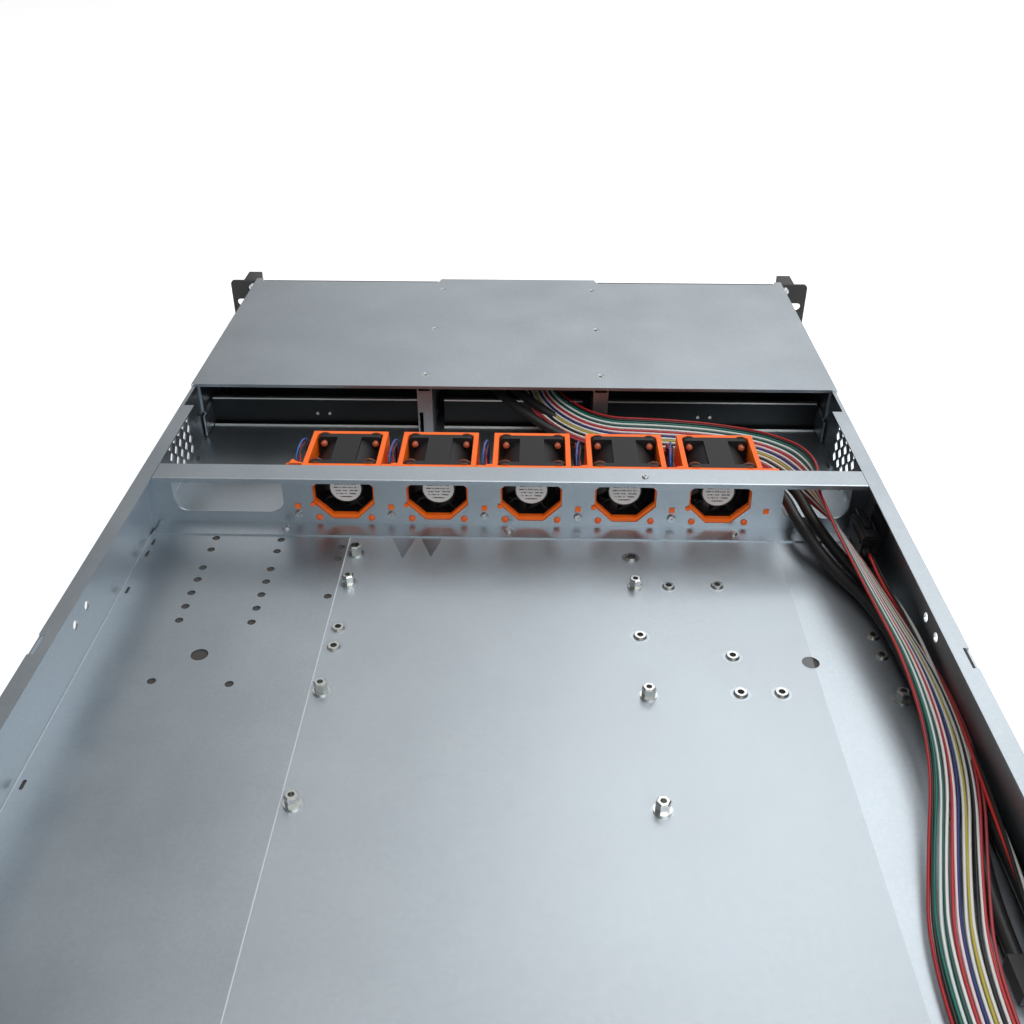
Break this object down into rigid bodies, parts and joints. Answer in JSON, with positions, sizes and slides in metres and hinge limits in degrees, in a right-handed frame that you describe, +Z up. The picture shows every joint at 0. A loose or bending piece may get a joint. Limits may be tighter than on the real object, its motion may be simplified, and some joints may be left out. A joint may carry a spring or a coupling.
{
  "type": "rackmount server case",
  "caption": "Open 1U rackmount server case of folded sheet steel with rack ears, pull handles, drive bays, a wall of fans in orange holders and front panel cables.",
  "frame": {"origin": "under the middle of the case at the height of its underside, halfway between the handles' front and the rear panel, left and right halfway between the ears", "axes": "+Z up, the front with ears and handles faces -Y, +X is the right side as seen from the front"},
  "size_m": [0.4826, 0.724, 0.0436],
  "materials": {
    "galvanised_sheet": "galvanised sheet steel, fine spangle",
    "plated_screw": "zinc plated steel",
    "black_paint": "black powder coat",
    "black_plastic": "moulded, fine texture",
    "light_pipe": "clear moulded",
    "circuit_board": "green solder mask",
    "orange_plastic": "moulded, satin",
    "fan_plastic": "glass filled, satin",
    "orange_rubber": "moulded",
    "fan_wire": "insulated wire",
    "white_plastic": "moulded",
    "cable_jacket": "round jacket, satin",
    "ribbon_wire": "insulated wires side by side",
    "film": "thin clear polyester film"
  },
  "bodies": {
    "case": {"chassis": "galvanised_sheet", "rear_panel": "galvanised_sheet", "front_cover": "galvanised_sheet", "bay_divider_left": "galvanised_sheet", "bay_divider_right": "galvanised_sheet", "cross_member_left": "galvanised_sheet", "cross_member_centre": "galvanised_sheet", "cross_member_right": "galvanised_sheet", "side_rail_left": "galvanised_sheet", "side_rail_right": "galvanised_sheet", "fan_wall": "galvanised_sheet", "cover_screws": "plated_screw", "wall_screws": "plated_screw", "handle_screws": "plated_screw", "board_standoffs": "plated_screw", "clinch_nuts": "plated_screw", "ear_left": "black_paint", "ear_right": "black_paint", "control_panel": "black_paint", "handle_left": "black_plastic", "handle_right": "black_plastic", "bay_blank_left": "black_plastic", "bay_blank_right": "black_plastic", "ribbon_plug": "black_plastic", "cable_plug_1": "black_plastic", "cable_plug_2": "black_plastic", "lead_plug": "black_plastic", "lead_connector": "black_plastic", "status_lights": "light_pipe", "control_board": "circuit_board", "fan_holder_1": "orange_plastic", "fan_holder_2": "orange_plastic", "fan_holder_3": "orange_plastic", "fan_holder_4": "orange_plastic", "fan_holder_5": "orange_plastic", "fan_frame_1": "fan_plastic", "fan_frame_2": "fan_plastic", "fan_frame_3": "fan_plastic", "fan_frame_4": "fan_plastic", "fan_frame_5": "fan_plastic", "fan_pins": "orange_rubber", "fan_lead_1": "fan_wire", "fan_lead_2": "fan_wire", "fan_lead_3": "fan_wire", "fan_lead_4": "fan_wire", "fan_lead_5": "fan_wire", "fan_plugs": "white_plastic", "cable_1": "cable_jacket", "cable_2": "cable_jacket", "power_lead": "cable_jacket", "ribbon_cable": "ribbon_wire", "floor_film": "film"},
    "rotor_1": {"fan_rotor_1": "fan_plastic"},
    "rotor_2": {"fan_rotor_2": "fan_plastic"},
    "rotor_3": {"fan_rotor_3": "fan_plastic"},
    "rotor_4": {"fan_rotor_4": "fan_plastic"},
    "rotor_5": {"fan_rotor_5": "fan_plastic"},
    "power": {"power_button": "black_plastic"},
    "reset": {"reset_button": "black_plastic"}
  },
  "joints": [
    {"name": "rotor_1_spin", "type": "hinge", "parent": "case", "child": "rotor_1", "pos_m": [-0.12746, -0.049, 0.022], "axis": [0, 1, 0], "continuous": true},
    {"name": "rotor_2_spin", "type": "hinge", "parent": "case", "child": "rotor_2", "pos_m": [-0.0706, -0.049, 0.022], "axis": [0, 1, 0], "continuous": true},
    {"name": "rotor_3_spin", "type": "hinge", "parent": "case", "child": "rotor_3", "pos_m": [-0.01374, -0.049, 0.022], "axis": [0, 1, 0], "continuous": true},
    {"name": "rotor_4_spin", "type": "hinge", "parent": "case", "child": "rotor_4", "pos_m": [0.04312, -0.049, 0.022], "axis": [0, 1, 0], "continuous": true},
    {"name": "rotor_5_spin", "type": "hinge", "parent": "case", "child": "rotor_5", "pos_m": [0.09998, -0.049, 0.022], "axis": [0, 1, 0], "continuous": true},
    {"name": "power_press", "type": "slide", "parent": "case", "child": "power", "axis": [0, 1, 0], "range_m": [0, 0.0012], "stiffness_N_per_m": 300, "springref_m": -0.001},
    {"name": "reset_press", "type": "slide", "parent": "case", "child": "reset", "axis": [0, 1, 0], "range_m": [0, 0.0012], "stiffness_N_per_m": 300, "springref_m": -0.001}
  ]
}
